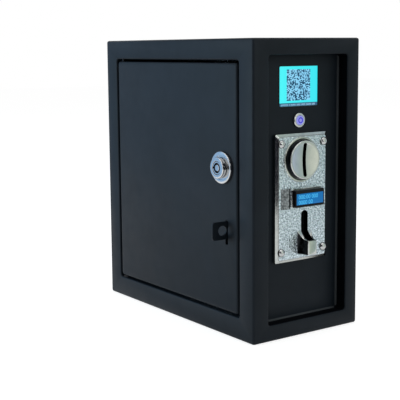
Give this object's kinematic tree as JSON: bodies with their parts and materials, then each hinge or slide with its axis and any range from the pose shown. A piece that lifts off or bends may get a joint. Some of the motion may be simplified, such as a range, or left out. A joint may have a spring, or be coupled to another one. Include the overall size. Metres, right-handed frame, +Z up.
{
  "type": "coin-operated charging kiosk",
  "caption": "Black steel charging kiosk box: recessed panel with display, push button and coin acceptor, locked hinged side door, rear power socket and network jack.",
  "frame": {"origin": "middle of the cabinet's flat base", "axes": "+Z up; the coin face looks along -Y, the door is on the -X side and the sockets are on the +Y rear"},
  "size_m": [0.16, 0.3009, 0.305],
  "materials": {
    "black_paint": "fine satin powder coat",
    "cast_zinc": "pebbled plated casting",
    "polished_metal": "polished",
    "steel": "zinc plated",
    "brass": "plain",
    "black_plastic": "moulded",
    "grey_plastic": "moulded",
    "pale_plastic": "moulded",
    "cyan_display": "lit screen",
    "blue_display": "lit screen",
    "lit_lens": "lit lens",
    "green_board": "solder mask",
    "red_lead": "sheath",
    "black_lead": "sheath",
    "white_lead": "sheath",
    "green_lead": "sheath"
  },
  "bodies": {
    "cabinet": {"cabinet_shell": "black_paint", "rear_panel": "black_paint", "control_panel": "black_paint", "panel_screw_1": "steel", "panel_screw_2": "steel", "panel_screw_3": "steel", "panel_screw_4": "steel", "display_glass": "cyan_display", "display_module": "steel", "display_board": "green_board", "button_bezel": "polished_metal", "button_nut": "steel", "button_switch": "black_plastic", "coin_faceplate": "cast_zinc", "faceplate_screw_1": "polished_metal", "faceplate_screw_2": "polished_metal", "faceplate_screw_3": "polished_metal", "faceplate_screw_4": "polished_metal", "coin_lcd_block": "black_plastic", "coin_lcd_screen": "blue_display", "acceptor_body": "black_plastic", "acceptor_cover": "black_plastic", "coin_chute": "steel", "cash_box": "steel", "hinge_pin_top": "steel", "hinge_pin_bottom": "steel", "hinge_washer": "brass", "padlock_staple": "black_paint", "socket_body": "grey_plastic", "hot_contact_left": "brass", "hot_contact_right": "brass", "ground_contact": "brass", "neutral_contact": "brass", "socket_screw": "steel", "socket_clamp": "steel", "jack_shell": "steel", "jack_insert": "black_plastic", "gland_body": "black_plastic", "gland_cap": "black_plastic", "gland_locknut": "black_plastic", "mounting_tray": "steel", "power_supply": "steel", "contactor": "pale_plastic", "controller_board": "green_board", "terminal_block": "pale_plastic", "lead_hot_1": "red_lead", "lead_hot_2": "black_lead", "lead_neutral": "white_lead", "lead_ground": "green_lead", "display_cable": "black_lead", "coin_cable": "black_lead"},
    "door": {"door_panel": "black_paint", "lock_housing": "polished_metal", "lock_nut": "steel"},
    "lock": {"lock_plug": "polished_metal", "lock_cam": "steel", "cam_screw": "steel"},
    "button": {"button_cap": "lit_lens"},
    "coin_disc": {"coin_entry_disc": "polished_metal"}
  },
  "joints": [
    {"name": "door_hinge", "type": "hinge", "parent": "cabinet", "child": "door", "pos_m": [-0.066, 0.109, 0.1525], "axis": [0, 0, -1], "range_deg": [0, 110]},
    {"name": "lock_turn", "type": "hinge", "parent": "door", "child": "lock", "pos_m": [-0.0585, -0.0905, 0.1752], "axis": [-1, 0, 0], "range_deg": [0, 90]},
    {"name": "button_push", "type": "slide", "parent": "cabinet", "child": "button", "axis": [0, 1, 0], "range_m": [0, 0.0025], "stiffness_N_per_m": 400, "springref_m": -0.001},
    {"name": "coin_disc_push", "type": "slide", "parent": "cabinet", "child": "coin_disc", "axis": [0, 1, 0], "range_m": [0, 0.003], "stiffness_N_per_m": 600, "springref_m": -0.001}
  ]
}
